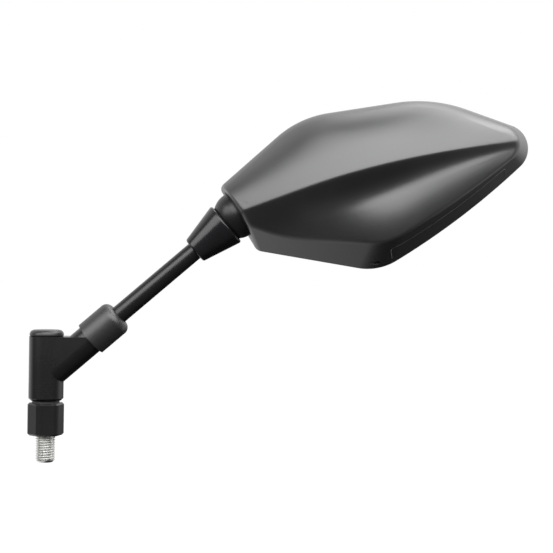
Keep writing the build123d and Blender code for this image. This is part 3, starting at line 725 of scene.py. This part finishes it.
def ringTool(name, rings, finish="housing_plastic"):
    # closed body through rings, for a boolean to take away or as a piece of its own
    tool = ringMesh(name, np.array(rings), materials[finish])
    shape = bmesh.new()
    shape.from_mesh(tool.data)
    bmesh.ops.holes_fill(shape, edges=shape.edges)
    bmesh.ops.recalc_face_normals(shape, faces=shape.faces)
    shape.to_mesh(tool.data)
    shape.free()
    return tool


def neckCutter():
    # round hole along the stem, its mouth bevelled where it leaves the collar's end wall
    wall = moulding["collarSide"]
    foot, top = (np.array(moulding["corners"][k]) for k in (wall, 0))
    side = (top - foot) / np.linalg.norm(top - foot)
    inward = np.array((side[1], -side[0]))
    lean = tan(radians(moulding["drafts"][wall]))
    turn = radians(moulding["stemTilt"] - moulding["tilt"])
    axis = np.array((cos(turn), sin(turn), 0.0))
    across = np.array((-sin(turn), cos(turn), 0.0))
    bevel = moulding["holeBevel"]
    rings = []
    back = np.array((0, 0, 1.0))
    for radius, step in ((bevel, -moulding["holeLead"]), (bevel, 0.0), (0.0, bevel), (0.0, None)):
        ring = []
        for angle in np.linspace(0, 2 * pi, moulding["holeSides"], endpoint=False):
            spot = (moulding["holeRadius"] + radius) * (cos(angle) * across + sin(angle) * back)
            gap = (spot[2] + moulding["rimDepth"]) * lean + inward @ foot - inward @ spot[:2]
            reach = gap / (inward @ axis[:2])
            ring.append(spot + axis * (moulding["holeDepth"] if step is None else reach + step))
        rings.append(ring)
    return ringTool("neckTool", rings)


def drainCutter():
    # oval hole through the lower left wall, near the heel
    wall = moulding["drainSide"]
    heel, foot = (np.array(moulding["corners"][k]) for k in (wall, wall + 1))
    along = (foot - heel) / np.linalg.norm(foot - heel)
    out = np.array((-along[1], along[0]))
    width, height = moulding["drainSize"]
    turns = np.linspace(0, pi, moulding["drainSides"])
    half = [(width / 2 * sin(t), height / 2 * cos(t)) for t in turns]
    oval = half + [(-x, -y) for x, y in half]
    rings = []
    for reach in (-moulding["drainReach"], moulding["drainReach"]):
        spots = [np.array(moulding["drainAt"]) + along * x + out * reach for x, y in oval]
        levels = [moulding["drainLevel"] - moulding["rimDepth"] + y for x, y in oval]
        rings.append([(*spot, level) for spot, level in zip(spots, levels)])
    return ringTool("drainTool", rings)


def makeHousing():
    shape = moulding
    rim = -shape["rimDepth"]

    def level(outline, height):
        return np.column_stack([outline, np.full(len(outline), rim + height)])[None]

    pocketEdge = shape["sideWall"] + shape["ledgeWidth"]
    ledgeTop = shape["ledgeDepth"] + shape["ledgeThick"]
    collar = shape["glassCollar"]
    outer = backRibs(0.0, 0.0, 0.0, shape["crestEnds"])
    inner = backRibs(ledgeTop, shape["sideWall"], shape["backWall"], shape["crestEnds"])
    rings = np.concatenate([
        outer,
        level(rimOutline(0, shape["rimLip"], collar, False), 0),
        level(rimOutline(shape["ledgeDepth"], shape["rimLip"], collar, False), shape["ledgeDepth"]),
        level(rimOutline(shape["ledgeDepth"], pocketEdge, collar, False), shape["ledgeDepth"]),
        level(rimOutline(shape["ledgeDepth"], pocketEdge, collar, False), ledgeTop),
        inner[::-1],
    ])
    housing = ringMesh("housingShell", rings, materials["housing_plastic"])
    cutAway(housing, [neckCutter(), barrelCutter(), drainCutter()])
    housing.data.polygons.foreach_set("use_smooth", [True] * len(housing.data.polygons))
    housing.data.set_sharp_from_angle(angle=radians(shape["crease"]))
    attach(housing, "head")
    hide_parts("housing")


witness = {
    # fine raised line that the mould's insert left on the lower right wall: distance along the wall from
    # the tip's corner and height over the rim, in mm, then the line's own width and rise
    "path": [(33.0, 1.5), (33.3, 19.0), (34.1, 21.5), (36.4, 22.5), (101.0, 25.2), (103.4, 24.4),
             (104.2, 22.0), (105.0, 8.0)],
    "width": 0.44, "rise": 0.2, "sink": 0.12, "step": 0.8,
    # the wall's place among the rim's sides
    "side": 3,
}


def makeWitness():
    side = witness["side"]
    tip, heel = (np.array(moulding["corners"][k]) for k in (side, side + 1))
    along = (heel - tip) / np.linalg.norm(heel - tip)
    lean = radians(moulding["drafts"][side])
    path = np.array(witness["path"])
    run = np.concatenate([[0], np.cumsum(np.linalg.norm(np.diff(path, axis=0), axis=1))])
    at = np.linspace(0, run[-1], int(run[-1] / witness["step"]))
    line = np.column_stack([np.interp(at, run, path[:, k]) for k in (0, 1)])
    first = side * (moulding["arcPoints"] + moulding["sidePoints"])
    last = first + 2 * moulding["arcPoints"] + moulding["sidePoints"]

    def onWall(reach, height):
        outline = rimOutline(height)[first:last]
        spots = (outline - tip) @ along
        grows = np.concatenate([[True], np.diff(np.maximum.accumulate(spots)) > hair])
        return np.array([*(np.interp(reach, spots[grows], outline[grows, k]) for k in (0, 1)),
                         height - moulding["rimDepth"]])

    out = np.array((-along[1] * cos(lean), along[0] * cos(lean), sin(lean)))
    spots = np.array([onWall(*place) for place in line])
    heading = np.gradient(spots, axis=0)
    beside = np.cross(heading, out)
    beside /= np.linalg.norm(beside, axis=1, keepdims=True)
    half = witness["width"] / 2
    rings = [spots - half * beside - witness["sink"] * out, spots + witness["rise"] * out,
             spots + half * beside - witness["sink"] * out]
    # the line takes the lighter finish, a painted highlight on its ridge
    piece = ringTool("insertWitness", np.array(rings).transpose(1, 0, 2), "painted_highlight_line")
    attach(piece, "head")


makeHousing()
makeWitness()
print("housing")
